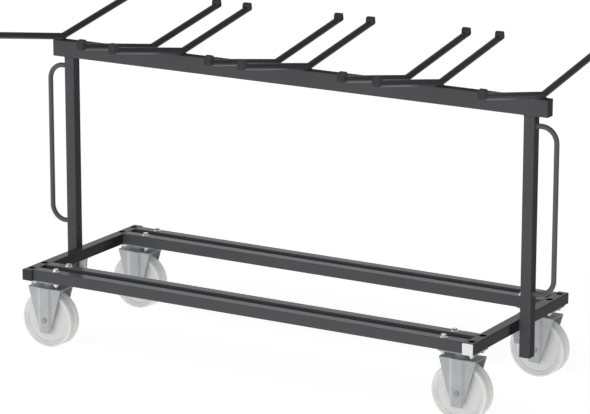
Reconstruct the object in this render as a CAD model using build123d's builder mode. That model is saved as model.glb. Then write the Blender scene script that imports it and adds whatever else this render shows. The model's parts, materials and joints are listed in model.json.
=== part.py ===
"""Chair cart: a welded tube frame with V-shaped hanging arms, push handles and four swivel casters.

X runs along the cart, Y from front to back and Z up, in millimetres.
The origin is the middle of the cart on the floor.
"""
import os
from math import cos, radians, tan

from build123d import *

os.makedirs("parts", exist_ok=True)

# Square tube of the base and posts
TUBE = 40.0
TUBE_WALL = 2.0
TUBE_INNER_CORNER = 1.0
PLUG_FLANGE = 2.0
PLUG_STEM = 8.0
PLUG_CLEARANCE = 0.2

# Base
BASE_DEPTH = 724.0
RAIL_INSET = 31.0
VENT_DIAMETER = 8.0
VENT_HEIGHT = 71.0

# Posts and top beam
POST_RISE = 707.0
POST_DROP = 93.0
POST_INSET = 48.0
BEAM_HEIGHT = 60.0
BEAM_DEPTH = 40.0

# Hanging arms
ARM_BAY = 384.0
ARM_PAIR_GAP = 131.0
ARM_REACH = 454.0
ARM_ANGLE = 10.2
ARM_DIAMETER = 24.0
ARM_WALL = 2.0
ARM_SEAT_CUT = 1.0
BEAM_END_MARGIN = 16.5
STOP_WIDTH = 23.0
STOP_LENGTH = 28.0
STOP_HEIGHT = 18.5
STOP_INNER_ROUND = 12.0
STOP_OUTER_ROUND = 2.0

# Push handles
HANDLE_DIAMETER = 18.0
HANDLE_REACH = 75.0
HANDLE_BEND = 55.0
HANDLE_TOP_GAP = 35.0
HANDLE_FOOT_GAP = 92.0

# Tabs under the cross tubes
TAB_WIDTH = 33.0
TAB_FOOT_WIDTH = 28.0
TAB_HEIGHT = 52.0
TAB_THICKNESS = 6.0
TAB_HOLE = 6.6
TAB_HOLE_IN = 11.5
TAB_HOLE_DOWN = 32.0

# Caster fixings
BOLT_PITCH_X = 105.0
BOLT_PITCH_Y = 80.0
BOLT_DIAMETER = 10.0
BOLT_CLEARANCE = 1.0
BOLT_END = 15.0
HEAD_FLATS = 17.0
HEAD_HEIGHT = 7.0
HEAD_FLANGE = 26.0
HEAD_FLANGE_HEIGHT = 3.0
NUT_FLATS = 16.0
NUT_HEIGHT = 9.0
ACCESS_HOLE = 25.0

# Caster top plate, swivel head and kingpin
PLATE_MARGIN_X = 17.5
PLATE_MARGIN_Y = 15.0
PLATE_THICKNESS = 5.0
PLATE_CORNER = 10.0
SWIVEL_HEAD_HEIGHT = 18.0
SWIVEL_HEAD_TOP = 68.0
SWIVEL_HEAD_FOOT = 58.0
SWIVEL_RING_WALL = 14.0
SWIVEL_RING_PIN_GAP = 9.0
SWIVEL_RING_HEIGHT = 4.7
SWIVEL_GAP = 0.3
KINGPIN = 16.0
KINGPIN_NUT_FLATS = 24.0
KINGPIN_NUT_HEIGHT = 8.0
RUNNING_CLEARANCE = 0.05
FIT_CLEARANCE = 0.02

# Caster fork
FORK_SHEET = 4.0
FORK_LENGTH = 140.0
FORK_FOOT_LENGTH = 42.0
FORK_FOOT_DROP = 47.0
FORK_PANEL = 36.0
FORK_PANEL_SLOPE = 12.0
FORK_PANEL_PROUD = 3.0
FORK_SIDE_GAP = 7.5
FORK_TOP_GAP = 14.0
FORK_BEND = 5.0

# Wheel, axle and bushes
WHEEL_RADIUS = 103.0
WHEEL_WIDTH = 58.0
WHEEL_SHOULDER = 8.0
WHEEL_RIM = 18.0
WHEEL_DISH = 7.0
WHEEL_DISH_SLOPE = 4.0
WHEEL_DISH_FILLET = 3.0
HUB_WALL = 12.0
HUB_END_GAP = 0.5
BUSH_WALL = 4.5
BUSH_LENGTH = 22.0
SLEEVE_WALL = 1.5
AXLE_DIAMETER = 12.0
AXLE_HEAD_RIM = 4.0
AXLE_HEAD_HEIGHT = 3.0

# Heights, from the floor up
axle_z = WHEEL_RADIUS
crown_under = 2 * WHEEL_RADIUS + FORK_TOP_GAP
crown_top = crown_under + FORK_SHEET
ring_top = crown_top + SWIVEL_RING_HEIGHT
head_foot = ring_top + SWIVEL_GAP
plate_under = head_foot + SWIVEL_HEAD_HEIGHT
base_under = plate_under + PLATE_THICKNESS
base_top = base_under + TUBE
base_middle = base_under + TUBE / 2
beam_under = base_top + POST_RISE
beam_top = beam_under + BEAM_HEIGHT

# Places along and across the cart
tube_corner = TUBE_INNER_CORNER + TUBE_WALL
bolt_hole = BOLT_DIAMETER + BOLT_CLEARANCE
inner_arm_x = ARM_PAIR_GAP / 2
arm_places = [inner_arm_x, inner_arm_x + ARM_BAY]
arm_places += [arm_places[1] + ARM_PAIR_GAP, arm_places[1] + ARM_PAIR_GAP + ARM_BAY]
arm_x = sorted(sign * x for x in arm_places for sign in (-1, 1))
beam_half = arm_places[-1] + ARM_DIAMETER / 2 + BEAM_END_MARGIN
post_outer = beam_half - POST_INSET
post_inner = post_outer - TUBE
cross_x = post_inner - TUBE / 2
rail_end = post_inner - TUBE
caster_x = cross_x - BOLT_PITCH_X / 2
rail_bolt_x = cross_x - BOLT_PITCH_X
outer_rail_y = BASE_DEPTH / 2 - RAIL_INSET
inner_rail_y = outer_rail_y - BOLT_PITCH_Y
caster_y = outer_rail_y - BOLT_PITCH_Y / 2


def save(builder, name):
    """Label a finished piece and write it as its own file."""
    builder.part.label = name
    export_step(builder.part, f"parts/{name}.step")


def along_x(x, y, z, facing=1):
    """Plane square to X that faces the right end, or the left end with facing -1, its own y up."""
    return Plane(origin=(x, y, z), x_dir=(0, facing, 0), z_dir=(facing, 0, 0))


def along_y(x, y, z, facing=-1):
    """Plane square to Y that faces the front, or the back with facing 1, its own y up."""
    return Plane(origin=(x, y, z), x_dir=(-facing, 0, 0), z_dir=(0, facing, 0))


def tube_section(width, height):
    """Draw a hollow tube's section with rounded corners."""
    RectangleRounded(width, height, tube_corner)
    walls = 2 * TUBE_WALL
    RectangleRounded(width - walls, height - walls, TUBE_INNER_CORNER, mode=Mode.SUBTRACT)


def end_plug(end_face, width, height):
    """Push-in plug whose flange lies on a tube's end face, seen along the plane's normal."""
    walls = 2 * (TUBE_WALL + PLUG_CLEARANCE)
    with BuildSketch(end_face) as flange:
        RectangleRounded(width, height, tube_corner)
    extrude(flange.sketch, amount=PLUG_FLANGE)
    with BuildSketch(end_face) as stem:
        RectangleRounded(width - walls, height - walls, TUBE_INNER_CORNER)
    extrude(stem.sketch, amount=-PLUG_STEM)


# Cross tubes, with an access hole over each of the short bolts
tube_half = BASE_DEPTH / 2 - PLUG_FLANGE
cross_bolt_y = [-outer_rail_y, -inner_rail_y, inner_rail_y, outer_rail_y]
for side, sign in (("left", -1), ("right", 1)):
    with BuildPart() as cross_tube:
        with BuildSketch(along_y(sign * cross_x, tube_half, base_middle)):
            tube_section(TUBE, TUBE)
        extrude(amount=2 * tube_half)
        with BuildSketch(Plane.XY.offset(base_top)):
            with Locations(*[(sign * cross_x, y) for y in cross_bolt_y]):
                Circle(ACCESS_HOLE / 2)
        extrude(amount=-TUBE / 2, mode=Mode.SUBTRACT)
        with BuildSketch(Plane.XY.offset(base_under)):
            with Locations(*[(sign * cross_x, y) for y in cross_bolt_y]):
                Circle(bolt_hole / 2)
        extrude(amount=TUBE / 2, mode=Mode.SUBTRACT)
    save(cross_tube, f"{side}_cross_tube")

# Long rails, with a bolt hole through both walls near each end
rails = {
    "front_outer": -outer_rail_y,
    "front_inner": -inner_rail_y,
    "rear_inner": inner_rail_y,
    "rear_outer": outer_rail_y,
}
for place, y in rails.items():
    with BuildPart() as rail:
        with BuildSketch(along_x(-rail_end, y, base_middle)):
            tube_section(TUBE, TUBE)
        extrude(amount=2 * rail_end)
        with BuildSketch(Plane.XY.offset(base_under)):
            with Locations((-rail_bolt_x, y), (rail_bolt_x, y)):
                Circle(bolt_hole / 2)
        extrude(amount=TUBE, mode=Mode.SUBTRACT)
    save(rail, f"{place}_rail")

# Posts on the outer faces of the cross tubes, with a vent hole in the inner wall
post_foot = base_under - POST_DROP + PLUG_FLANGE
for side, sign in (("left", -1), ("right", 1)):
    with BuildPart() as post:
        with BuildSketch(Plane((sign * (post_inner + TUBE / 2), 0, post_foot))):
            tube_section(TUBE, TUBE)
        extrude(amount=beam_under - post_foot)
        with BuildSketch(along_x(sign * post_inner, 0, base_top + VENT_HEIGHT)):
            Circle(VENT_DIAMETER / 2)
        extrude(amount=sign * TUBE / 2, mode=Mode.SUBTRACT)
    save(post, f"{side}_post")

# Top beam
beam_tube_half = beam_half - PLUG_FLANGE
beam_middle = beam_under + BEAM_HEIGHT / 2
with BuildPart() as top_beam:
    with BuildSketch(along_x(-beam_tube_half, 0, beam_middle)):
        tube_section(BEAM_DEPTH, BEAM_HEIGHT)
    extrude(amount=2 * beam_tube_half)
save(top_beam, "top_beam")

# End plugs of the tubes
with BuildPart() as white_end_plug:
    end_plug(along_y(cross_x, -tube_half, base_middle), TUBE, TUBE)
save(white_end_plug, "white_end_plug")

with BuildPart() as dark_end_plugs:
    end_plug(along_y(-cross_x, -tube_half, base_middle), TUBE, TUBE)
    for sign in (-1, 1):
        end_plug(along_y(sign * cross_x, tube_half, base_middle, facing=1), TUBE, TUBE)
save(dark_end_plugs, "dark_end_plugs")

with BuildPart() as beam_end_plugs:
    for sign in (-1, 1):
        end_plug(along_x(sign * beam_tube_half, 0, beam_middle, facing=sign), BEAM_DEPTH, BEAM_HEIGHT)
save(beam_end_plugs, "beam_end_plugs")

with BuildPart() as post_foot_plugs:
    for sign in (-1, 1):
        foot = (sign * (post_inner + TUBE / 2), 0, post_foot)
        end_plug(Plane(foot, x_dir=(1, 0, 0), z_dir=(0, 0, -1)), TUBE, TUBE)
save(post_foot_plugs, "post_foot_plugs")

# Hanging arms: round tubes mitred over the beam and ground flat where they sit on it
arm_slope = tan(radians(ARM_ANGLE))
arm_radius = ARM_DIAMETER / 2
arm_end = ARM_REACH - STOP_LENGTH
arm_axis = beam_top - ARM_SEAT_CUT + arm_radius / cos(radians(ARM_ANGLE))
for number, x in enumerate(arm_x, start=1):
    with BuildPart() as arm:
        with BuildSketch(Plane((x, 0, arm_axis), x_dir=(1, 0, 0), z_dir=(0, 1, arm_slope))):
            Circle(arm_radius)
            Circle(arm_radius - ARM_WALL, mode=Mode.SUBTRACT)
        extrude(amount=ARM_REACH, both=True)
        split(bisect_by=along_y(0, 0, 0), keep=Keep.BOTTOM)
        split(bisect_by=along_y(0, arm_end, 0), keep=Keep.TOP)
        split(bisect_by=Plane.XY.offset(beam_top), keep=Keep.TOP)
        mirror(about=Plane.XZ)
        split(bisect_by=Plane.XZ, keep=Keep.BOTH)
    save(arm, f"arm_{number}")

# Stops that close the arm tips: level on top, square to the arm outside and rounded inside
tip_axis = arm_axis + ARM_REACH * arm_slope
stop_top = tip_axis + STOP_HEIGHT
stop_reach = ARM_REACH - STOP_HEIGHT * arm_slope
for end, facing in (("front", -1), ("rear", 1)):
    with BuildPart() as arm_stops:
        for x in arm_x:
            tip = (x, facing * ARM_REACH, tip_axis)
            with BuildSketch(Plane(tip, x_dir=(1, 0, 0), z_dir=(0, facing, arm_slope))):
                Circle(arm_radius)
            extrude(amount=-2 * STOP_LENGTH)
        split(bisect_by=along_y(0, facing * arm_end, 0, facing), keep=Keep.TOP)
        for x in arm_x:
            with BuildSketch(along_x(x, 0, 0, facing)) as profile:
                with BuildLine():
                    Polyline(
                        (arm_end, arm_axis + arm_end * arm_slope),
                        (ARM_REACH, tip_axis),
                        (stop_reach, stop_top),
                        (arm_end, stop_top),
                        close=True,
                    )
                make_face()
                inner_corner, outer_corner = profile.vertices().group_by(Axis.Y)[-1].sort_by(Axis.X)
                fillet(inner_corner, STOP_INNER_ROUND)
                fillet(outer_corner, STOP_OUTER_ROUND)
            extrude(amount=STOP_WIDTH / 2, both=True)
    save(arm_stops, f"{end}_arm_stops")

# Push handles: bent round bar on the outside of each post
handle_top = beam_under - HANDLE_TOP_GAP
handle_foot = base_top + HANDLE_FOOT_GAP
for side, sign in (("left", -1), ("right", 1)):
    with BuildPart() as handle:
        with BuildLine(Plane.XZ) as bar:
            FilletPolyline(
                (sign * post_outer, handle_top),
                (sign * (post_outer + HANDLE_REACH), handle_top),
                (sign * (post_outer + HANDLE_REACH), handle_foot),
                (sign * post_outer, handle_foot),
                radius=HANDLE_BEND,
            )
        with BuildSketch(Plane(bar.line @ 0, z_dir=bar.line % 0)):
            Circle(HANDLE_DIAMETER / 2)
        sweep()
    save(handle, f"{side}_handle")

# Zinc tabs in the corner under each cross tube and behind the post
for side, sign in (("left", -1), ("right", 1)):
    with BuildPart() as tab:
        with BuildSketch(along_y(sign * post_inner, 0, base_under)):
            with BuildLine():
                Polyline(
                    (0, 0),
                    (-sign * TAB_WIDTH, 0),
                    (-sign * TAB_FOOT_WIDTH, -TAB_HEIGHT),
                    (0, -TAB_HEIGHT),
                    close=True,
                )
            make_face()
            with Locations((-sign * TAB_HOLE_IN, -TAB_HOLE_DOWN)):
                Circle(TAB_HOLE / 2, mode=Mode.SUBTRACT)
        extrude(amount=TAB_THICKNESS / 2, both=True)
    save(tab, f"{side}_tab")

# Casters
fork_inner = WHEEL_WIDTH / 2 + FORK_SIDE_GAP
fork_outer = fork_inner + FORK_SHEET
panel_inner = fork_inner + FORK_PANEL_PROUD
panel_outer = panel_inner + FORK_SHEET
fork_foot = axle_z - FORK_FOOT_DROP
hub_half = fork_inner - HUB_END_GAP
bush_half = panel_inner - HUB_END_GAP
dish_half = WHEEL_WIDTH / 2 - WHEEL_DISH
rim_radius = WHEEL_RADIUS - WHEEL_RIM
axle_half = panel_outer + AXLE_HEAD_HEIGHT
bolt_foot = plate_under - BOLT_END
axle_radius = AXLE_DIAMETER / 2
axle_head_radius = axle_radius + AXLE_HEAD_RIM
sleeve_bore = axle_radius + FIT_CLEARANCE
sleeve_radius = sleeve_bore + SLEEVE_WALL
bush_bore = sleeve_radius + RUNNING_CLEARANCE
bush_radius = bush_bore + BUSH_WALL
hub_radius = bush_radius + HUB_WALL
pin_radius = KINGPIN / 2
pin_bore = pin_radius + RUNNING_CLEARANCE
ring_bore = pin_radius + SWIVEL_RING_PIN_GAP
ring_radius = ring_bore + SWIVEL_RING_WALL
pin_nut_top = crown_under - SWIVEL_GAP
pin_foot = pin_nut_top - KINGPIN_NUT_HEIGHT
casters = {
    "front_left": (-1, -1),
    "front_right": (1, -1),
    "rear_left": (-1, 1),
    "rear_right": (1, 1),
}


def leg_face(outward, distance):
    """Plan of one face of a pressed fork leg: a proud middle panel between two flat flanks."""
    panel = FORK_PANEL / 2
    flank = panel + FORK_PANEL_SLOPE
    proud = distance + FORK_PANEL_PROUD
    face = [
        (-FORK_LENGTH / 2, distance),
        (-flank, distance),
        (-panel, proud),
        (panel, proud),
        (flank, distance),
        (FORK_LENGTH / 2, distance),
    ]
    return [(x, outward * y) for x, y in face]


for place, (sign_x, sign_y) in casters.items():
    middle_x = sign_x * caster_x
    middle_y = sign_y * caster_y
    floor = Plane((middle_x, middle_y, 0))
    upright = along_y(middle_x, middle_y, 0)
    axle_plane = along_x(middle_x, middle_y, axle_z)
    axle_line = Axis((middle_x, middle_y, axle_z), (0, 1, 0))

    with BuildPart() as top_plate:
        with BuildSketch(floor.offset(plate_under)):
            RectangleRounded(
                BOLT_PITCH_X + 2 * PLATE_MARGIN_X, BOLT_PITCH_Y + 2 * PLATE_MARGIN_Y, PLATE_CORNER
            )
            with GridLocations(BOLT_PITCH_X, BOLT_PITCH_Y, 2, 2):
                Circle(bolt_hole / 2, mode=Mode.SUBTRACT)
        extrude(amount=PLATE_THICKNESS)
        with BuildSketch(floor.offset(plate_under)):
            Circle(SWIVEL_HEAD_TOP / 2)
        with BuildSketch(floor.offset(head_foot)):
            Circle(SWIVEL_HEAD_FOOT / 2)
        loft()
        with BuildSketch(floor.offset(head_foot)):
            Circle(pin_radius)
        extrude(amount=SWIVEL_HEAD_HEIGHT + PLATE_THICKNESS, mode=Mode.SUBTRACT)
    save(top_plate, f"{place}_top_plate")

    with BuildPart() as kingpin:
        with BuildSketch(floor.offset(pin_foot)):
            Circle(pin_radius)
        extrude(amount=base_under - pin_foot)
        with BuildSketch(floor.offset(pin_foot)):
            RegularPolygon(KINGPIN_NUT_FLATS / 2, 6, major_radius=False)
            Circle(pin_radius + FIT_CLEARANCE, mode=Mode.SUBTRACT)
        extrude(amount=KINGPIN_NUT_HEIGHT)
    save(kingpin, f"{place}_kingpin")

    rail_bolts = [(-sign_x * BOLT_PITCH_X / 2, y) for y in (-BOLT_PITCH_Y / 2, BOLT_PITCH_Y / 2)]
    tube_bolts = [(-x, y) for x, y in rail_bolts]
    with BuildPart() as fixings:
        with BuildSketch(floor.offset(base_top)):
            with Locations(*rail_bolts):
                Circle(HEAD_FLANGE / 2)
        extrude(amount=HEAD_FLANGE_HEIGHT)
        for bolts, seat in ((rail_bolts, base_top), (tube_bolts, base_under + TUBE_WALL)):
            with BuildSketch(floor.offset(seat)):
                with Locations(*bolts):
                    RegularPolygon(HEAD_FLATS / 2, 6, major_radius=False)
            extrude(amount=HEAD_FLANGE_HEIGHT + HEAD_HEIGHT)
            with BuildSketch(floor.offset(seat)):
                with Locations(*bolts):
                    Circle(BOLT_DIAMETER / 2)
            extrude(amount=bolt_foot - seat)
        with BuildSketch(floor.offset(plate_under)):
            with Locations(*rail_bolts, *tube_bolts):
                RegularPolygon(NUT_FLATS / 2, 6, major_radius=False)
                Circle(BOLT_DIAMETER / 2 + FIT_CLEARANCE, mode=Mode.SUBTRACT)
        extrude(amount=-NUT_HEIGHT)
    save(fixings, f"{place}_fixings")

    with BuildPart() as fork:
        with BuildSketch(floor.offset(fork_foot)):
            for outward in (-1, 1):
                with BuildLine():
                    inside = leg_face(outward, fork_inner)
                    Polyline(*inside, *reversed(leg_face(outward, fork_outer)), close=True)
                make_face()
        extrude(amount=crown_top - fork_foot)
        with BuildSketch(floor.offset(crown_under)):
            with BuildLine():
                Polyline(*leg_face(-1, fork_outer), *reversed(leg_face(1, fork_outer)), close=True)
            make_face()
        extrude(amount=FORK_SHEET)
        with BuildSketch(upright):
            with BuildLine():
                Polyline(
                    (-FORK_LENGTH / 2, crown_top),
                    (FORK_LENGTH / 2, crown_top),
                    (FORK_FOOT_LENGTH / 2, fork_foot),
                    (-FORK_FOOT_LENGTH / 2, fork_foot),
                    close=True,
                )
            make_face()
        extrude(amount=panel_outer, both=True, mode=Mode.INTERSECT)
        crown_edges = fork.faces().sort_by(Axis.Z)[-1].edges().sort_by(Axis.X)
        fillet(crown_edges[1:-1], FORK_BEND)
        with BuildSketch(upright):
            with Locations((0, axle_z)):
                Circle(axle_radius)
        extrude(amount=panel_outer, both=True, mode=Mode.SUBTRACT)
        with BuildSketch(floor.offset(crown_under)):
            Circle(pin_bore)
        extrude(amount=FORK_SHEET, mode=Mode.SUBTRACT)
    save(fork, f"{place}_fork")

    with BuildPart() as swivel_ring:
        with BuildSketch(floor.offset(crown_top)):
            Circle(ring_radius)
            Circle(ring_bore, mode=Mode.SUBTRACT)
        extrude(amount=SWIVEL_RING_HEIGHT)
    save(swivel_ring, f"{place}_swivel_ring")

    with BuildPart() as axle:
        with BuildSketch(axle_plane):
            with BuildLine():
                Polyline(
                    (-axle_half, 0),
                    (-axle_half, axle_head_radius),
                    (-panel_outer, axle_head_radius),
                    (-panel_outer, axle_radius),
                    (panel_outer, axle_radius),
                    (panel_outer, axle_head_radius),
                    (axle_half, axle_head_radius),
                    (axle_half, 0),
                    close=True,
                )
            make_face()
        revolve(axis=axle_line)
        with BuildSketch(upright):
            with Locations((0, axle_z)):
                Circle(sleeve_radius)
                Circle(sleeve_bore, mode=Mode.SUBTRACT)
        extrude(amount=panel_inner, both=True)
    save(axle, f"{place}_axle")

    with BuildPart() as wheel:
        with BuildSketch(axle_plane) as section:
            with BuildLine():
                Polyline(
                    (-hub_half, bush_radius),
                    (-hub_half, hub_radius),
                    (-dish_half, hub_radius),
                    (-dish_half, rim_radius - WHEEL_DISH_SLOPE),
                    (-WHEEL_WIDTH / 2, rim_radius),
                    (-WHEEL_WIDTH / 2, WHEEL_RADIUS),
                    (WHEEL_WIDTH / 2, WHEEL_RADIUS),
                    (WHEEL_WIDTH / 2, rim_radius),
                    (dish_half, rim_radius - WHEEL_DISH_SLOPE),
                    (dish_half, hub_radius),
                    (hub_half, hub_radius),
                    (hub_half, bush_radius),
                    close=True,
                )
            make_face()
            by_radius = section.vertices().group_by(Axis.Y)
            fillet(by_radius[-1], WHEEL_SHOULDER)
            fillet(by_radius[-2] + by_radius[-3], WHEEL_DISH_FILLET)
        revolve(axis=axle_line)
    save(wheel, f"{place}_wheel")

    with BuildPart() as wheel_bushes:
        for end in (-1, 1):
            with BuildSketch(along_y(middle_x, middle_y + end * bush_half, axle_z)):
                Circle(bush_radius)
                Circle(bush_bore, mode=Mode.SUBTRACT)
            extrude(amount=end * BUSH_LENGTH)
    save(wheel_bushes, f"{place}_wheel_bushes")
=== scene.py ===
# %% [markdown]
# # A chair cart, dressed around its CAD frame
# The cart is a welded tube frame on four swivel casters, with V-shaped arms that chairs hang on.
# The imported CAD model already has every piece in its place, so this file gives the pieces their
# finishes, adds the fine work that the solids leave out, and sets the camera and the light.

# %% Load the frame
import json
import math

import bmesh
import bpy
from mathutils import Matrix, Vector


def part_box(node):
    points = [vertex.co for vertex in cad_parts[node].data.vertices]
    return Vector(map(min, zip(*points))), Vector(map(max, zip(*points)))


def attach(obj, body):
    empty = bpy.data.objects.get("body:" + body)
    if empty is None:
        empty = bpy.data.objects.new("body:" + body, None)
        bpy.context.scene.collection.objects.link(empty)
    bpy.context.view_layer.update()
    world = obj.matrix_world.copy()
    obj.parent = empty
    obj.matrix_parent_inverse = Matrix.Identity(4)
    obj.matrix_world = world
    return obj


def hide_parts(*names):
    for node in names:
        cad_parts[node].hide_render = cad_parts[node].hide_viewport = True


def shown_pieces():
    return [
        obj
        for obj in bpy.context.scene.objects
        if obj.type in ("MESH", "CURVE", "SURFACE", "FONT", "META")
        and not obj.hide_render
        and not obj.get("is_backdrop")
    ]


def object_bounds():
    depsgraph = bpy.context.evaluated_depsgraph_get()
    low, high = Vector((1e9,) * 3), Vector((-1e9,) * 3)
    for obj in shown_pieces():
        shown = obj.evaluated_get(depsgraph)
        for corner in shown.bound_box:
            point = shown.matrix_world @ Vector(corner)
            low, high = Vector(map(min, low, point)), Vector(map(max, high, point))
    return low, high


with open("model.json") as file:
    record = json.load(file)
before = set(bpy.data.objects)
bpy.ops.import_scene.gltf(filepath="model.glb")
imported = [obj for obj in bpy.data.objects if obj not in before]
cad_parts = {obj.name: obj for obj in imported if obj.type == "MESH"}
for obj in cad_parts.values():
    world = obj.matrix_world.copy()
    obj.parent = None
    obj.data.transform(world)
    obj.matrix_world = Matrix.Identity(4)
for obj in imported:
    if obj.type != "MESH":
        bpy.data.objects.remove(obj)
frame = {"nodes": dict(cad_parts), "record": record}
nodes = frame["nodes"]
scene = bpy.context.scene
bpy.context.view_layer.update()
MM = 0.001
CORNERS = ("front_left", "front_right", "rear_left", "rear_right")

# %% [markdown]
# ## The camera
# The viewpoint was solved from the straight edges of the base and the posts: a long lens about eleven
# metres away, to the right of the cart and above it, with a trace of roll. The focal length is in pixels
# of an image that is 590 pixels wide.

# %% Camera
IMAGE_WIDTH = 590
SENSOR = 36.0
FOCAL_PIXELS = 3119.3
AZIMUTH = math.radians(30.542)
ELEVATION = math.radians(14.480)
ROLL = math.radians(0.08)
TARGET = Vector((0.0122, 0.0, 0.5617))
DISTANCE = 10.9246

back = Vector((
    math.sin(AZIMUTH) * math.cos(ELEVATION),
    -math.cos(AZIMUTH) * math.cos(ELEVATION),
    math.sin(ELEVATION),
))
level_right = Vector((math.cos(AZIMUTH), math.sin(AZIMUTH), 0.0))
right = math.cos(ROLL) * level_right + math.sin(ROLL) * back.cross(level_right)
up = back.cross(right)
camera_data = bpy.data.cameras.new("studio_camera")
camera_data.sensor_width = SENSOR
camera_data.lens = FOCAL_PIXELS * SENSOR / IMAGE_WIDTH
camera_data.clip_end = 200.0
camera = bpy.data.objects.new("studio_camera", camera_data)
camera.location = TARGET + back * DISTANCE
camera.rotation_mode = "QUATERNION"
camera.rotation_quaternion = Matrix((right, up, back)).transposed().to_quaternion()
scene.collection.objects.link(camera)
scene.camera = camera
print("lens", round(camera_data.lens, 1), "mm")

# %% [markdown]
# ## Helpers for materials
# Colours are written as they look on a screen, so one function turns the hex value to linear light.
# One other function adds a shader node, sets it and links it, which keeps each recipe short.


# %% Material helpers
def linear(hex_colour):
    """sRGB hex to linear RGBA."""
    values = [int(hex_colour[i:i + 2], 16) / 255 for i in (1, 3, 5)]
    return [v / 12.92 if v <= 0.04045 else ((v + 0.055) / 1.055) ** 2.4 for v in values] + [1.0]


def add_node(tree, kind, settings=None, values=None, links=None):
    """Add a node, set its properties and socket values, and link its inputs."""
    node = tree.nodes.new(kind)
    for name, value in (settings or {}).items():
        setattr(node, name, value)
    for name, value in (values or {}).items():
        node.inputs[name].default_value = value
    for name, source in (links or {}).items():
        tree.links.new(source, node.inputs[name])
    return node


def start_material(name, **sockets):
    """A material whose shader has these plain socket values."""
    material = bpy.data.materials.new(name)
    material.use_nodes = True
    shader = material.node_tree.nodes["Principled BSDF"]
    for socket, value in sockets.items():
        shader.inputs[socket.replace("_", " ")].default_value = value
    return material, material.node_tree, shader


def cloudy_colour(tree, shader, low, high, size_mm, detail=3.0):
    """Let the base colour drift between two tones over patches of a real size."""
    place = add_node(tree, "ShaderNodeTexCoord")
    noise = add_node(tree, "ShaderNodeTexNoise", None, {"Scale": 1 / (size_mm * MM), "Detail": detail},
                     {"Vector": place.outputs["Object"]})
    tone = add_node(tree, "ShaderNodeValToRGB", None, None, {"Fac": noise.outputs["Fac"]})
    tone.color_ramp.elements[0].position = 0.3
    tone.color_ramp.elements[0].color = linear(low)
    tone.color_ramp.elements[1].position = 0.7
    tone.color_ramp.elements[1].color = linear(high)
    tree.links.new(tone.outputs["Color"], shader.inputs["Base Color"])
    return place, noise


def fine_relief(tree, shader, place, size_mm, height_mm, strength):
    """A fine bumpy skin of a real grain size and height."""
    grain = add_node(tree, "ShaderNodeTexNoise", None, {"Scale": 1 / (size_mm * MM), "Detail": 2.0},
                     {"Vector": place.outputs["Object"]})
    bump = add_node(tree, "ShaderNodeBump", None, {"Strength": strength, "Distance": height_mm * MM},
                    {"Height": grain.outputs["Fac"]})
    tree.links.new(bump.outputs["Normal"], shader.inputs["Normal"])


def vary_roughness(tree, shader, source, low, high):
    """Spread the roughness between two values by a pattern."""
    spread = add_node(tree, "ShaderNodeMapRange", None, {"To Min": low, "To Max": high},
                      {"Value": source.outputs["Fac"]})
    tree.links.new(spread.outputs["Result"], shader.inputs["Roughness"])


# %% [markdown]
# ## The finishes
# The frame is powder-coated steel. The coat is flat on the posts and the beam, over a slight orange peel.
# On the base it is smoother, so its top faces mirror the white room and the posts at a flat angle.
# The coat on the cross tubes is a much darker copy of it, which is painted shade for their dark sides.
# Hands have rubbed the push handles a little glossier, and chairs the arms. Besides that gloss, the handles'
# coat is painted lighter, which is painted light, and the arms' coat is painted darker, which is painted shade.
# The casters and tabs are zinc plated and passivated, which leaves a matt light grey with faint clouds,
# and the bolts have the same plating polished brighter.
# The wheels and one plug are white plastic, and the other plugs and the stops on the arms are dark plastic.

# %% Powder-coated steel
# Orange peel is about 2 mm across; it is drawn at 5 mm, or it would be finer than a pixel.
def powder_coated(name, low, high, gloss, smoothest, roughest):
    """The grey coat between two tones, with its gloss and its least and greatest roughness."""
    material, tree, shader = start_material(name, Specular_IOR_Level=gloss)
    place, clouds = cloudy_colour(tree, shader, low, high, 160.0)
    vary_roughness(tree, shader, clouds, smoothest, roughest)
    fine_relief(tree, shader, place, 5.0, 0.05, 0.12)
    return material


powder_coat = powder_coated("powder_coated_steel", "#555557", "#58585a", 0.0, 0.55, 0.62)
# Painted light: the handles' coat is a lighter copy of the grey, besides its rubbed gloss.
hand_rubbed_coat_painted_lighter = powder_coated("hand_rubbed_powder_coat_painted_lighter", "#616163", "#646466", 0.08, 0.36, 0.44)
rail_coat = powder_coated("smooth_powder_coat_on_rails", "#545456", "#575759", 0.05, 0.11, 0.15)
# Painted shade: the cross tubes' coat is a much darker copy of the rail coat, to darken their sides.
painted_shade_tube_coat = powder_coated("smooth_powder_coat_painted_darker_on_cross_tubes", "#303032", "#333335", 0.06, 0.11, 0.15)
# Painted shade: the arms' coat is a darker copy of the grey, besides its rubbed gloss.
chair_rubbed_coat_painted_darker = powder_coated("chair_rubbed_powder_coat_painted_darker", "#424244", "#454547", 0.035, 0.24, 0.3)

# %% Zinc-plated pressings
# The passivated skin scatters light as a dull film does, so only part of it answers as metal.
zinc_plate, tree, shader = start_material("zinc_plated_steel", Metallic=0.35, Specular_IOR_Level=0.2)
place, clouds = cloudy_colour(tree, shader, "#98999b", "#a0a1a3", 35.0)
vary_roughness(tree, shader, clouds, 0.42, 0.52)
fine_relief(tree, shader, place, 4.0, 0.03, 0.2)

# %% Bright zinc bolts
bright_zinc, tree, shader = start_material("bright_zinc_bolts", Metallic=1.0)
place, clouds = cloudy_colour(tree, shader, "#c8c8c7", "#d6d6d4", 9.0)
vary_roughness(tree, shader, clouds, 0.26, 0.36)

# %% Cast nylon wheels
# Light travels a few millimetres through nylon, which softens the shade in the dish.
cast_nylon, tree, shader = start_material(
    "cast_nylon", IOR=1.53, Subsurface_Weight=0.6, Subsurface_Scale=0.012
)
shader.inputs["Subsurface Radius"].default_value = (1.0, 1.0, 1.0)
place, clouds = cloudy_colour(tree, shader, "#d6d6d6", "#dbdbda", 45.0)
vary_roughness(tree, shader, clouds, 0.38, 0.46)
fine_relief(tree, shader, place, 3.0, 0.04, 0.2)

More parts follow.
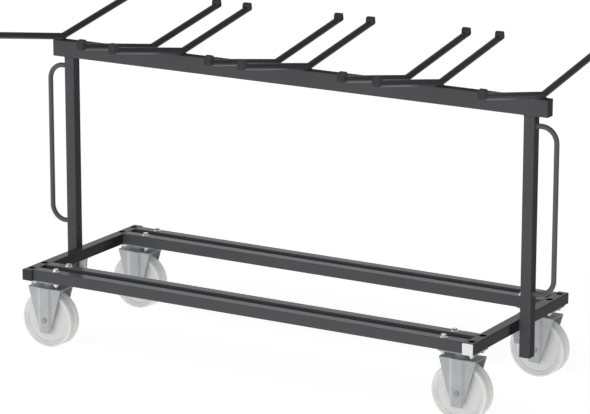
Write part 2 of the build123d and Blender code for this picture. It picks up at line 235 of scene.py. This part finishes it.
# %% Moulded polyethylene plugs
white_plug, tree, shader = start_material("white_polyethylene", IOR=1.51)
place, clouds = cloudy_colour(tree, shader, "#eeedec", "#f2f1f0", 14.0)
vary_roughness(tree, shader, clouds, 0.42, 0.5)
fine_relief(tree, shader, place, 1.5, 0.03, 0.2)

dark_plug, tree, shader = start_material("dark_polyethylene", Specular_IOR_Level=0.0)
place, clouds = cloudy_colour(tree, shader, "#434345", "#464648", 14.0)
vary_roughness(tree, shader, clouds, 0.5, 0.6)
fine_relief(tree, shader, place, 1.5, 0.03, 0.2)

grey_plug, tree, shader = start_material("grey_polyethylene", Specular_IOR_Level=0.0)
place, clouds = cloudy_colour(tree, shader, "#545456", "#575759", 14.0)
vary_roughness(tree, shader, clouds, 0.5, 0.6)
fine_relief(tree, shader, place, 1.5, 0.03, 0.2)

finishes = {
    "grey_paint": powder_coat,
    "zinc_steel": zinc_plate,
    "bright_steel": bright_zinc,
    "white_plastic": cast_nylon,
    "black_plastic": dark_plug,
}
slot_of = {row["node"]: row["material_slot"] for row in frame["record"]["subparts"]}
for name, node in nodes.items():
    node.data.materials.clear()
    node.data.materials.append(finishes[slot_of[name]])
special = {
    "white_end_plug": white_plug,
    "beam_end_plugs": grey_plug,
    "left_handle": hand_rubbed_coat_painted_lighter,
    "right_handle": hand_rubbed_coat_painted_lighter,
    **{name: chair_rubbed_coat_painted_darker for name in nodes if name.startswith("arm_")},
    **{name: rail_coat for name in nodes if name.endswith("_rail")},
    **{name: painted_shade_tube_coat for name in nodes if name.endswith("_cross_tube")},
}
for name, material in special.items():
    nodes[name].data.materials[0] = material
print("finishes", sorted(m.name for m in finishes.values()))

# %% [markdown]
# ## Soft edges
# No sheet or tube has a razor edge: a drawn tube is rounded, a cut end is ground and paint gathers there.
# The solids are plain triangles, so each gets a short chain of modifiers. Weld joins the triangles,
# Decimate melts those that lie flat into whole faces, and Bevel rounds the edges that are left. The forks
# have a lower limit, so that the slight bends beside their pressed panels show as lines.


# %% Round the edges
def soften(node, width_mm, angle_degrees, segments=2):
    """Round the sharp edges of a CAD node without touching its own mesh."""
    weld = node.modifiers.new("weld", "WELD")
    weld.merge_threshold = 0.01 * MM
    flat = node.modifiers.new("flat_faces", "DECIMATE")
    flat.decimate_type = "DISSOLVE"
    flat.angle_limit = math.radians(0.5)
    bevel = node.modifiers.new("soft_edges", "BEVEL")
    bevel.width = width_mm * MM
    bevel.segments = segments
    bevel.limit_method = "ANGLE"
    bevel.angle_limit = math.radians(angle_degrees)
    normals = node.modifiers.new("normals", "WEIGHTED_NORMAL")
    normals.keep_sharp = True


SHARP_ANGLE = 35.0
BEND_ANGLE = 13.5
EDGE_WIDTHS = {
    "arm_": 0.4,
    "_plug": 0.8,
    "_post": 0.5,
    "_rail": 0.5,
    "_tube": 0.5,
    "_beam": 0.5,
    "_tab": 0.6,
    "_top_plate": 0.7,
    "_fork": 0.5,
    "_axle": 0.6,
    "_swivel_ring": 0.5,
    "_kingpin": 0.5,
}
for name, node in nodes.items():
    node.data.shade_smooth()
    for word, width in EDGE_WIDTHS.items():
        if word in name:
            soften(node, width, BEND_ANGLE if word == "_fork" else SHARP_ANGLE)
            break

# %% [markdown]
# ## Shapes made from outlines
# Turned pieces come from an outline and an axis. The outline is a short list of corners, each with its own
# rounding, and a lathe function turns it into a mesh. The same corner rule serves every turned piece.


# %% Outline and lathe
def rounded_outline(corners, steps=7):
    """Points of an outline whose corners are (along, radius, rounding), with an arc at each rounding."""
    points = []
    count = len(corners)
    for i, (along, radius, rounding) in enumerate(corners):
        corner = Vector((along, radius))
        if rounding == 0:
            points.append(corner)
            continue
        to_last = (Vector(corners[i - 1][:2]) - corner).normalized()
        to_next = (Vector(corners[(i + 1) % count][:2]) - corner).normalized()
        half_angle = to_last.angle(to_next) / 2
        centre = corner + (to_last + to_next).normalized() * rounding / math.sin(half_angle)
        first = corner + to_last * rounding / math.tan(half_angle) - centre
        last = corner + to_next * rounding / math.tan(half_angle) - centre
        sweep = first.angle_signed(last)
        for step in range(steps + 1):
            points.append(centre + Matrix.Rotation(-sweep * step / steps, 2) @ first)
    return points


def lathe(outline, middle, axis, segments, closed=True):
    """Turn an outline of (along, radius) points in metres round an axis through a middle point."""
    shape = bmesh.new()
    side = axis.orthogonal().normalized()
    lift = axis.cross(side)
    rings = []
    for along, radius in outline:
        turns = [2 * math.pi * k / segments for k in range(segments)]
        rings.append([
            shape.verts.new(middle + axis * along + (side * math.cos(t) + lift * math.sin(t)) * radius)
            for t in turns
        ])
    followers = rings[1:] + rings[:1] if closed else rings[1:]
    for ring, after in zip(rings, followers):
        for k in range(segments):
            shape.faces.new((ring[k - 1], ring[k], after[k], after[k - 1]))
    return shape


def new_piece(name, shape, material, sharp_degrees=35.0):
    """Make a smooth-shaded object of a finished shape, with its sharp edges kept."""
    bmesh.ops.recalc_face_normals(shape, faces=shape.faces)
    mesh = bpy.data.meshes.new(name)
    shape.to_mesh(mesh)
    shape.free()
    mesh.shade_smooth()
    mesh.set_sharp_from_angle(angle=math.radians(sharp_degrees))
    mesh.materials.append(material)
    piece = bpy.data.objects.new(name, mesh)
    scene.collection.objects.link(piece)
    return piece


# %% [markdown]
# ## The wheels
# A cast nylon wheel is turned: a rounded tread, a narrow flat rim, a shallow dish in two steps, and a
# hub that stands proud of the dish on both sides. A hair-fine parting line runs round the tread.

# %% Turn the wheels
SHOULDER = 4.5
RIM_WIDTH = 9.0
RING_WIDTH = 9.0
STEP_DEPTH = 3.5
STEP_SLOPE = 2.5
STEP_ROUND = 1.5
TREAD_WIDTH = 58.0
HUB_RADIUS = 24.07
HUB_BORE = 12.07
HUB_EDGE = 1.5
PARTING_HALF = 0.6
PARTING_DEPTH = 0.4
WHEEL_SEGMENTS = 128


def wheel_outline(radius_mm, hub_half_mm):
    """Half of the wheel's section, mirrored to make the whole."""
    tread = TREAD_WIDTH / 2
    ring = tread - STEP_DEPTH
    dish = ring - STEP_DEPTH
    rim_foot = radius_mm - RIM_WIDTH
    ring_foot = rim_foot - RING_WIDTH
    half = [
        (hub_half_mm, HUB_BORE, 0.0),
        (hub_half_mm, HUB_RADIUS, HUB_EDGE),
        (dish, HUB_RADIUS, STEP_ROUND),
        (dish, ring_foot - STEP_SLOPE, STEP_ROUND),
        (ring, ring_foot, STEP_ROUND),
        (ring, rim_foot - STEP_SLOPE, STEP_ROUND),
        (tread, rim_foot, STEP_ROUND),
        (tread, radius_mm, SHOULDER),
        (PARTING_HALF, radius_mm, 0.0),
        (0.0, radius_mm - PARTING_DEPTH, 0.0),
    ]
    mirrored = [(-along, radius, rounding) for along, radius, rounding in reversed(half[:-1])]
    return rounded_outline(half + mirrored)


for corner in CORNERS:
    low, high = (Vector(v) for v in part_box(f"{corner}_wheel"))
    middle = (low + high) / 2
    outline = wheel_outline((high.z - low.z) / 2 / MM, (high.y - low.y) / 2 / MM)
    shape = lathe([point * MM for point in outline], middle, Vector((0, 1, 0)), WHEEL_SEGMENTS)
    wheel = new_piece(f"{corner}_nylon_wheel", shape, cast_nylon)
    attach(wheel, f"{corner}_roller")
    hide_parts(f"{corner}_wheel")

# %% [markdown]
# ## The bolts
# Each caster plate hangs on four bolts. The two in the rails go through the whole tube and have flanged
# heads on top of it, and the two in the cross tube are short and sit inside it, under the access holes.
# A head or nut is a hexagon whose corners are cut by a cone, and the thread is a helix: its radius follows
# both the height and the angle.

# %% Bolt parts
BOLT_RADIUS = 5.0
THREAD_PITCH = 1.5
THREAD_DEPTH = 0.9
THREAD_ROWS = 8
THREAD_SIDES = 24
TIP_LENGTH = 15.0
TIP_CHAMFER = 1.2
NUT_FLATS = 16.0
NUT_HEIGHT = 9.0
HEAD_FLATS = 17.0
HEAD_HEIGHT = 10.0
FLANGE_RADIUS = 13.0
FLANGE_EDGE = 1.4
FLANGE_HEIGHT = 3.0
HEX_POINTS = 48
HEX_CONE = math.tan(math.radians(30))


def add_rings(shape, rings, cap):
    """Join rings of points into walls, with a cap on the last ring if asked."""
    rows = [[shape.verts.new(Vector(point) * MM) for point in ring] for ring in rings]
    for row, after in zip(rows, rows[1:]):
        for k in range(len(row)):
            shape.faces.new((row[k - 1], row[k], after[k], after[k - 1]))
    if cap:
        shape.faces.new(rows[-1])


def circle(radius, height, count):
    """A level ring of points."""
    turns = [2 * math.pi * k / count for k in range(count)]
    return [(radius * math.cos(t), radius * math.sin(t), height) for t in turns]


def add_hexagon(shape, flats, seat, end):
    """A hexagon from its seat to its end height, with the end's corners cut by a cone."""
    inner = 0.95 * flats / 2
    way = 1 if end > seat else -1
    foot, shoulder = [], []
    for k in range(HEX_POINTS):
        turn = 2 * math.pi * k / HEX_POINTS
        off_flat = (turn % (math.pi / 3)) - math.pi / 6
        radius = flats / 2 / math.cos(off_flat)
        x, y = radius * math.cos(turn), radius * math.sin(turn)
        foot.append((x, y, seat))
        shoulder.append((x, y, end - way * (radius - inner) * HEX_CONE))
    add_rings(shape, [foot, shoulder, circle(inner, end, HEX_POINTS)], True)


def add_thread(shape, top, foot):
    """A threaded tip that hangs from a height down to its chamfered foot."""
    rings = []
    rows = round((top - foot) / THREAD_PITCH * THREAD_ROWS)
    for row in range(rows + 1):
        z = top + (foot - top) * row / rows
        ring = []
        for k in range(THREAD_SIDES):
            turn = 2 * math.pi * k / THREAD_SIDES
            wave = abs(2 * ((z / THREAD_PITCH - k / THREAD_SIDES) % 1.0) - 1)
            radius = min(BOLT_RADIUS - THREAD_DEPTH * wave, BOLT_RADIUS - TIP_CHAMFER + z - foot)
            ring.append((radius * math.cos(turn), radius * math.sin(turn), z))
        rings.append(ring)
    add_rings(shape, rings, True)


def bolt_shape(seat, flanged):
    """A bolt whose nut hangs under height 0 and whose head sits at the seat height."""
    shape = bmesh.new()
    add_rings(shape, [circle(BOLT_RADIUS, 0.0, THREAD_SIDES), circle(BOLT_RADIUS, seat, THREAD_SIDES)], False)
    add_hexagon(shape, HEAD_FLATS, seat, seat + HEAD_HEIGHT)
    if flanged:
        ring = [
            circle(FLANGE_RADIUS, seat, HEX_POINTS),
            circle(FLANGE_RADIUS, seat + FLANGE_EDGE, HEX_POINTS),
            circle(HEAD_FLATS / 2 + 1, seat + FLANGE_HEIGHT, HEX_POINTS),
        ]
        add_rings(shape, ring, True)
    add_hexagon(shape, NUT_FLATS, 0.0, -NUT_HEIGHT)
    add_thread(shape, -NUT_HEIGHT, -TIP_LENGTH)
    return shape


# %% [markdown]
# A Geometry Nodes tree puts the bolts in place. Its input is a mesh of bare points, and an attribute on
# them says which get the first of two pieces. Every copy is turned about the vertical by a random angle
# between two limits, because nobody lines up nuts.


# %% Placing tree
def start_tree(name, sockets):
    """A geometry tree with a geometry input and output and further named inputs."""
    tree = bpy.data.node_groups.new(name, "GeometryNodeTree")
    tree.interface.new_socket("Geometry", in_out="INPUT", socket_type="NodeSocketGeometry")
    for socket, kind in sockets.items():
        tree.interface.new_socket(socket, in_out="INPUT", socket_type=kind)
    tree.interface.new_socket("Geometry", in_out="OUTPUT", socket_type="NodeSocketGeometry")
    return tree, tree.nodes.new("NodeGroupInput"), tree.nodes.new("NodeGroupOutput")


def end_tree(tree, inputs, outputs, geometry):
    """Make the copies real, give them the material and send them out."""
    real = add_node(tree, "GeometryNodeRealizeInstances", None, None, {"Geometry": geometry})
    dressed = add_node(tree, "GeometryNodeSetMaterial", None, None,
                       {"Geometry": real.outputs[0], "Material": inputs.outputs["Material"]})
    tree.links.new(dressed.outputs[0], outputs.inputs[0])


def run_tree(name, points, edges, tree, values, marked=None):
    """Run a tree on points and edges with these input values, and keep the result as a plain mesh."""
    mesh = bpy.data.meshes.new(name)
    mesh.from_pydata(points, edges, [])
    if marked:
        mesh.attributes.new("marked", "BOOLEAN", "POINT").data.foreach_set("value", marked)
    piece = bpy.data.objects.new(name, mesh)
    scene.collection.objects.link(piece)
    modifier = piece.modifiers.new(tree.name, "NODES")
    modifier.node_group = tree
    for item in tree.interface.items_tree:
        if item.in_out == "INPUT" and item.name in values:
            modifier[item.identifier] = values[item.name]
    result = piece.evaluated_get(bpy.context.evaluated_depsgraph_get())
    piece.data = bpy.data.meshes.new_from_object(result)
    piece.modifiers.clear()
    print(name, len(piece.data.polygons), "faces")
    return piece


placing_tree, inputs, outputs = start_tree("pieces_on_points", {
    "Marked Piece": "NodeSocketObject",
    "Plain Piece": "NodeSocketObject",
    "Least Turn": "NodeSocketFloat",
    "Most Turn": "NodeSocketFloat",
    "Seed": "NodeSocketInt",
    "Material": "NodeSocketMaterial",
})
is_marked = add_node(placing_tree, "GeometryNodeInputNamedAttribute", {"data_type": "BOOLEAN"}, {"Name": "marked"})
is_plain = add_node(placing_tree, "FunctionNodeBooleanMath", {"operation": "NOT"}, None,
                    {0: is_marked.outputs["Attribute"]})
angle = add_node(placing_tree, "FunctionNodeRandomValue", {"data_type": "FLOAT"}, None, {"Seed": inputs.outputs["Seed"]})
placing_tree.links.new(inputs.outputs["Least Turn"], angle.inputs[2])
placing_tree.links.new(inputs.outputs["Most Turn"], angle.inputs[3])
turn = add_node(placing_tree, "ShaderNodeCombineXYZ", None, None, {"Z": angle.outputs[1]})
both = add_node(placing_tree, "GeometryNodeJoinGeometry")
for socket, chosen in (("Plain Piece", is_plain.outputs[0]), ("Marked Piece", is_marked.outputs["Attribute"])):
    part = add_node(placing_tree, "GeometryNodeObjectInfo", None, {"As Instance": True},
                    {"Object": inputs.outputs[socket]})
    copies = add_node(placing_tree, "GeometryNodeInstanceOnPoints", None, None, {
        "Points": inputs.outputs["Geometry"],
        "Selection": chosen,
        "Instance": part.outputs["Geometry"],
        "Rotation": turn.outputs[0],
    })
    placing_tree.links.new(copies.outputs[0], both.inputs[0])
end_tree(placing_tree, inputs, outputs, both.outputs[0])

# %% Place the bolts
BOLT_PITCH_X = 105.0
BOLT_PITCH_Y = 80.0
PLATE_THICKNESS = 5.0
TUBE_WALL = 2.0
TUBE = 40.0

long_bolt = new_piece("long_bolt", bolt_shape(PLATE_THICKNESS + TUBE, True), bright_zinc, 25.0)
short_bolt = new_piece("short_bolt", bolt_shape(PLATE_THICKNESS + TUBE_WALL, False), bright_zinc, 25.0)
for seed, corner in enumerate(CORNERS):
    low, high = (Vector(v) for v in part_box(f"{corner}_top_plate"))
    middle = (low + high) / 2
    plate_under = high.z - PLATE_THICKNESS * MM
    inward = -1 if middle.x > 0 else 1
    spots = [(across, along) for across in (inward, -inward) for along in (-1, 1)]
    points = [
        (middle.x + across * BOLT_PITCH_X / 2 * MM, middle.y + along * BOLT_PITCH_Y / 2 * MM, plate_under)
        for across, along in spots
    ]
    bolts = run_tree(f"{corner}_bolts", points, [], placing_tree, {
        "Marked Piece": long_bolt,
        "Plain Piece": short_bolt,
        "Most Turn": math.pi / 3,
        "Seed": seed,
        "Material": bright_zinc,
    }, [across == inward for across, along in spots])
    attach(bolts, "frame")
    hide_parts(f"{corner}_fixings")
for template in (long_bolt, short_bolt):
    bpy.data.objects.remove(template)

# %% [markdown]
# ## The stops on the arms
# A moulded stop closes the tip of each arm and keeps the chairs from sliding off. Its lower half carries on
# the round of the tube, and its upper half is a block with soft edges. The block is a stack of outlines:
# towards each side the outline shrinks along a quarter circle, which rounds every edge at once.

# %% Shape one stop
ARM_ANGLE = math.radians(10.2)
ARM_RADIUS = 12.0
STOP_WIDTH = 23.0
STOP_LENGTH = 28.0
STOP_HEIGHT = 18.5
STOP_TILT = 5.0
STOP_INNER_ROUND = 11.0
STOP_OUTER_ROUND = 2.0
STOP_EDGE = 1.2
STOP_OVERLAP = 4.0
TIP_BACK = 0.6
STOP_STEPS = 4
STOP_SIDES = 40


def inset_outline(corners, inset):
    """Move each edge of a convex outline inwards and let its roundings shrink with it."""
    moved = []
    for i, (y, z, rounding) in enumerate(corners):
        corner = Vector((y, z))
        to_last = (Vector(corners[i - 1][:2]) - corner).normalized()
        to_next = (Vector(corners[(i + 1) % len(corners)][:2]) - corner).normalized()
        half_angle = to_last.angle(to_next) / 2
        corner += (to_last + to_next).normalized() * inset / math.sin(half_angle)
        moved.append((corner.x, corner.y, max(rounding - inset, 0.0)))
    return moved


def quarter(edge):
    """Steps of a quarter circle: how far in from the end, and how much smaller."""
    turns = [math.pi / 2 * k / STOP_STEPS for k in range(STOP_STEPS + 1)]
    return [(edge * (1 - math.cos(t)), edge * (1 - math.sin(t))) for t in turns]


def stop_shape():
    """A stop whose origin is the middle of the tube's tip, on a tube that rises towards +Y."""
    slope = math.tan(ARM_ANGLE)
    profile = [
        (-STOP_LENGTH - STOP_OVERLAP, -(STOP_LENGTH + STOP_OVERLAP) * slope, 0.0),
        (0.0, 0.0, 0.0),
        (-STOP_HEIGHT * slope, STOP_HEIGHT, STOP_OUTER_ROUND),
        (-STOP_LENGTH - STOP_OVERLAP, STOP_HEIGHT + STOP_TILT, STOP_INNER_ROUND),
    ]
    half = [(STOP_WIDTH / 2 - inward, shrink) for inward, shrink in quarter(STOP_EDGE)]
    layers = half + [(-x, shrink) for x, shrink in reversed(half)]
    shape = bmesh.new()
    rings = [[(x, y, z) for y, z in rounded_outline(inset_outline(profile, shrink))] for x, shrink in layers]
    add_rings(shape, rings, True)
    shape.faces.new([vert for vert in shape.verts][:len(rings[0])])
    tip = bmesh.new()
    ends = [circle(ARM_RADIUS, -STOP_LENGTH / math.cos(ARM_ANGLE), STOP_SIDES)]
    ends += [circle(ARM_RADIUS - shrink, -TIP_BACK - inward, STOP_SIDES) for inward, shrink in reversed(quarter(STOP_EDGE))]
    add_rings(tip, ends, True)
    bmesh.ops.rotate(tip, verts=tip.verts, matrix=Matrix.Rotation(ARM_ANGLE - math.pi / 2, 3, "X"))
    tip_mesh = bpy.data.meshes.new("tube_tip")
    tip.to_mesh(tip_mesh)
    tip.free()
    shape.from_mesh(tip_mesh)
    return shape


# %% Place the stops
stop_piece = new_piece("stop", stop_shape(), dark_plug)
for end, least_turn in (("front", math.pi), ("rear", 0.0)):
    low, high = (Vector(v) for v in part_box(f"{end}_arm_stops"))
    reach = max(abs(low.y), abs(high.y)) - ARM_RADIUS * math.sin(ARM_ANGLE) * MM
    tip_y = math.copysign(reach, low.y)
    tip_z = high.z - STOP_HEIGHT * MM
    boxes = [[Vector(v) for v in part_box(f"arm_{number}")] for number in range(1, 9)]
    points = [((first.x + last.x) / 2, tip_y, tip_z) for first, last in boxes]
    stops = run_tree(f"{end}_moulded_stops", points, [], placing_tree, {
        "Plain Piece": stop_piece,
        "Least Turn": least_turn,
        "Most Turn": least_turn,
        "Material": dark_plug,
    })
    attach(stops, "frame")
    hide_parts(f"{end}_arm_stops")
bpy.data.objects.remove(stop_piece)

# %% [markdown]
# ## The welds
# The tubes are welded where they meet, and the coat goes over the bead. A bead is a thin string in the corner
# between two faces, with a ripple for each pulse of the torch. A second tree turns bare lines into beads: it
# cuts each line into short steps, lets the radius rise and fall along it, and sweeps a small circle round it.

# %% Bead tree
bead_tree, inputs, outputs = start_tree("beads_on_lines", {
    "Bead Radius": "NodeSocketFloat",
    "Ripple Pitch": "NodeSocketFloat",
    "Ripple Depth": "NodeSocketFloat",
    "Material": "NodeSocketMaterial",
})
line = add_node(bead_tree, "GeometryNodeMeshToCurve", None, None, {"Mesh": inputs.outputs["Geometry"]})
step = add_node(bead_tree, "ShaderNodeMath", {"operation": "MULTIPLY"}, {1: 0.25},
                {0: inputs.outputs["Ripple Pitch"]})
steps = add_node(bead_tree, "GeometryNodeResampleCurve", {"mode": "LENGTH"}, None,
                 {"Curve": line.outputs[0], "Length": step.outputs[0]})
along = add_node(bead_tree, "GeometryNodeSplineParameter")
ripples = add_node(bead_tree, "ShaderNodeMath", {"operation": "DIVIDE"}, None,
                   {0: along.outputs["Length"], 1: inputs.outputs["Ripple Pitch"]})
wave = add_node(bead_tree, "ShaderNodeMath", {"operation": "PINGPONG"}, {1: 0.5}, {0: ripples.outputs[0]})
dip = add_node(bead_tree, "ShaderNodeMath", {"operation": "MULTIPLY"}, None,
               {0: wave.outputs[0], 1: inputs.outputs["Ripple Depth"]})
swell = add_node(bead_tree, "ShaderNodeMath", {"operation": "SUBTRACT"}, {0: 1.0}, {1: dip.outputs[0]})
string = add_node(bead_tree, "GeometryNodeSetCurveRadius", None, None,
                  {"Curve": steps.outputs[0], "Radius": swell.outputs[0]})
ring = add_node(bead_tree, "GeometryNodeCurvePrimitiveCircle", None, {"Resolution": 10},
                {"Radius": inputs.outputs["Bead Radius"]})
bead = add_node(bead_tree, "GeometryNodeCurveToMesh", None, {"Fill Caps": True},
                {"Curve": string.outputs[0], "Profile Curve": ring.outputs[0]})
end_tree(bead_tree, inputs, outputs, bead.outputs[0])

# %% [markdown]
# The lines come from the boxes of the solids. Rails meet the cross tubes and posts meet the beam in plain
# corners, the posts lie against the cross tubes, the arms sit on the beam, and each end of a handle butts
# against its post, which makes a ring.

# %% Lay the beads
CORNER = 4.0 * MM
BEAD = 3.0 * MM
SADDLE = Vector((8.0, 9.0, 0.5)) * MM
HANDLE_RADIUS = 9.0 * MM
RING_SIDES = 24
weld_points = []
weld_edges = []


def weld(points, closed=False):
    """Add one line of points to the welds."""
    first = len(weld_points)
    weld_points.extend(points)
    weld_edges.extend((first + k, first + k + 1) for k in range(len(points) - 1))
    if closed:
        weld_edges.append((first + len(points) - 1, first))


for rail in ("front_outer", "front_inner", "rear_inner", "rear_outer"):
    low, high = (Vector(v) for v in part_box(f"{rail}_rail"))
    for x in (low.x, high.x):
        for y in (low.y, high.y):
            weld([(x, y, low.z + CORNER), (x, y, high.z - CORNER)])
for side in ("left", "right"):
    low, high = (Vector(v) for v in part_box(f"{side}_post"))
    tube_low, tube_high = (Vector(v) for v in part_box(f"{side}_cross_tube"))
    inner = min(low.x, high.x, key=abs)
    outer = max(low.x, high.x, key=abs)
    weld([(inner, low.y + CORNER, tube_high.z - MM), (inner, high.y - CORNER, tube_high.z - MM)])
    for y in (low.y + MM, high.y - MM):
        weld([(inner, y, tube_low.z + CORNER), (inner, y, tube_high.z - CORNER)])
    for x in (low.x, high.x):
        weld([(x, low.y + CORNER, high.z), (x, high.y - CORNER, high.z)])
    bar_low, bar_high = (Vector(v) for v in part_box(f"{side}_handle"))
    for z in (bar_low.z + HANDLE_RADIUS, bar_high.z - HANDLE_RADIUS):
        turns = [2 * math.pi * k / RING_SIDES for k in range(RING_SIDES)]
        weld([(outer, HANDLE_RADIUS * math.cos(t), z + HANDLE_RADIUS * math.sin(t)) for t in turns], True)
beam_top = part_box("top_beam")[1][2]
for number in range(1, 9):
    low, high = (Vector(v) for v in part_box(f"arm_{number}"))
    for across in (-1, 1):
        x = (low.x + high.x) / 2 + across * SADDLE.x
        weld([(x, -SADDLE.y, beam_top + SADDLE.z), (x, SADDLE.y, beam_top + SADDLE.z)])
beads = run_tree("painted_welds", weld_points, weld_edges, bead_tree, {
    "Bead Radius": BEAD,
    "Ripple Pitch": 2.6 * MM,
    "Ripple Depth": 0.5,
    "Material": powder_coat,
})
beads.data.shade_smooth()
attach(beads, "frame")

# %% [markdown]
# ## The studio
# The floor and the far background are white. The floor is mostly its own light for the
# camera, so it stays white, and the rest of it takes the cart's soft shadow.

# %% Floor
FLOOR_RADIUS = 30.0
FLOOR_GLOW = 0.87
FLOOR_SHADE = 0.5
floor_shape = bmesh.new()
bmesh.ops.create_circle(floor_shape, cap_ends=True, radius=FLOOR_RADIUS, segments=64)
floor_paint = bpy.data.materials.new("white_studio_floor")
floor = new_piece("studio_floor", floor_shape, floor_paint)
floor.visible_diffuse = False
floor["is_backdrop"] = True
flag_paint, tree, shader = start_material("black_flag", Base_Color=(0.0, 0.0, 0.0, 1.0))
for side in ("front", "rear"):
    first = [Vector(corner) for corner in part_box(f"{side}_outer_rail")]
    second = [Vector(corner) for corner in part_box(f"{side}_inner_rail")]
    across = sorted((first[0].y, first[1].y, second[0].y, second[1].y))
    flag_shape = bmesh.new()
    corners = ((0, 1), (1, 1), (1, 2), (0, 2))
    flag_shape.faces.new([flag_shape.verts.new((first[x].x, across[y], first[0].z)) for x, y in corners])
    flag = new_piece(f"{side}_black_flag", flag_shape, flag_paint)
    flag.visible_camera = False
    flag.visible_glossy = False
    flag.visible_transmission = False
    flag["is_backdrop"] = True


def seen_directly(tree):
    """1 for rays that show the background: from the camera, in gloss and through glass."""
    path = add_node(tree, "ShaderNodeLightPath")
    seen = path.outputs["Is Camera Ray"]
    for ray in ("Is Glossy Ray", "Is Transmission Ray"):
        either = add_node(tree, "ShaderNodeMath", {"operation": "MAXIMUM"}, None, {0: seen, 1: path.outputs[ray]})
        seen = either.outputs[0]
    return seen


floor_paint.use_nodes = True
tree = floor_paint.node_tree
tree.nodes.clear()
glow = add_node(tree, "ShaderNodeEmission", None, {"Strength": FLOOR_GLOW})
shade = add_node(tree, "ShaderNodeBsdfDiffuse", None, {"Color": (FLOOR_SHADE, FLOOR_SHADE, FLOOR_SHADE, 1.0)})
shown = add_node(tree, "ShaderNodeAddShader", None, None, {0: glow.outputs[0], 1: shade.outputs[0]})
floor_mix = add_node(tree, "ShaderNodeMixShader", None, None,
                     {0: seen_directly(tree), 1: shade.outputs[0], 2: shown.outputs[0]})
add_node(tree, "ShaderNodeOutputMaterial", None, None, {"Surface": floor_mix.outputs[0]})

# %% [markdown]
# The room itself is the main lamp. It is brightest low in front of the cart, as in a studio with a white
# sweep, and darkest behind it on the right. That makes each face one even tone, with no hard shadows.

# %% World
BRIGHT_SIDE = Vector((-0.15, -0.88, -0.45))
ROOM_MIDDLE = 0.50
ROOM_SPAN = 0.85
world = bpy.data.worlds.new("white_studio")
world.use_nodes = True
scene.world = world
tree = world.node_tree
tree.nodes.clear()
direction = add_node(tree, "ShaderNodeTexCoord")
facing = add_node(tree, "ShaderNodeVectorMath", {"operation": "DOT_PRODUCT"}, {1: BRIGHT_SIDE},
                  {0: direction.outputs["Generated"]})
room = add_node(tree, "ShaderNodeMapRange", None,
                {"From Min": -1.0, "To Min": ROOM_MIDDLE - ROOM_SPAN, "To Max": ROOM_MIDDLE + ROOM_SPAN},
                {"Value": facing.outputs["Value"]})
lit = add_node(tree, "ShaderNodeMath", {"operation": "MAXIMUM"}, {1: 0.0}, {0: room.outputs["Result"]})
level = add_node(tree, "ShaderNodeMapRange", None, {"To Max": 1.0},
                 {"Value": seen_directly(tree), "To Min": lit.outputs[0]})
sky = add_node(tree, "ShaderNodeBackground", None, {"Color": (1.0, 1.0, 1.0, 1.0)},
               {"Strength": level.outputs["Result"]})
add_node(tree, "ShaderNodeOutputWorld", None, None, {"Surface": sky.outputs[0]})

# %% [markdown]
# Five lamps add what an even room can't give. One from above and behind lightens the top faces of the base.
# One from the right reaches the treads of the wheels, and one from the left models the pressed panels of
# the forks, the tabs and the bolts. One from below is the white floor's glow under the arms.
# The last is a plain back light for every piece, so that the far side isn't left in the dark.
# Light linking gives each lamp its own pieces. The lamps from above and behind make no glare, because at
# a flat angle it would draw a white line along the smooth base.


# %% Lamps
def add_lamp(name, strength, towards, words, shine=True):
    """A soft sun along a direction, on pieces whose names hold one of the words, with or without glare."""
    group = bpy.data.collections.new(f"{name}_pieces")
    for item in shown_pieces():
        if any(word in item.name for word in words):
            group.objects.link(item)
    data = bpy.data.lights.new(name, "SUN")
    data.energy = strength
    data.angle = math.radians(12)
    lamp = bpy.data.objects.new(name, data)
    lamp.rotation_mode = "QUATERNION"
    lamp.rotation_quaternion = Vector(towards).to_track_quat("-Z", "Y")
    lamp.visible_glossy = shine
    scene.collection.objects.link(lamp)
    lamp.light_linking.receiver_collection = group
    lamp.light_linking.blocker_collection = group


BASE_TOPS = ("_rail", "_tube", "_bolts", "_end_plug", "front_moulded")
add_lamp("top_lamp", 1.6, (0.291, -0.494, -0.819), BASE_TOPS, shine=False)
add_lamp("right_lamp", 1.0, (-1.0, 0.05, -0.15), ("nylon_wheel", "moulded"))
add_lamp("left_lamp", 1.2, (0.8, 0.6, 0.0), ("_fork", "_tab", "_bolts"))
add_lamp("floor_lamp", 1.6, (0.0, 0.1, 1.0), ("arm_",))
add_lamp("back_lamp", 2.8, (0.51, -0.86, 0.0), ("",), shine=False)

# %% [markdown]
# ## The colour settings and the bounds
# The Standard view transform shows colours as they are written. At the end the box round the shown pieces
# is measured.

# %% Finish
scene.view_settings.view_transform = "Standard"
low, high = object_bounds()
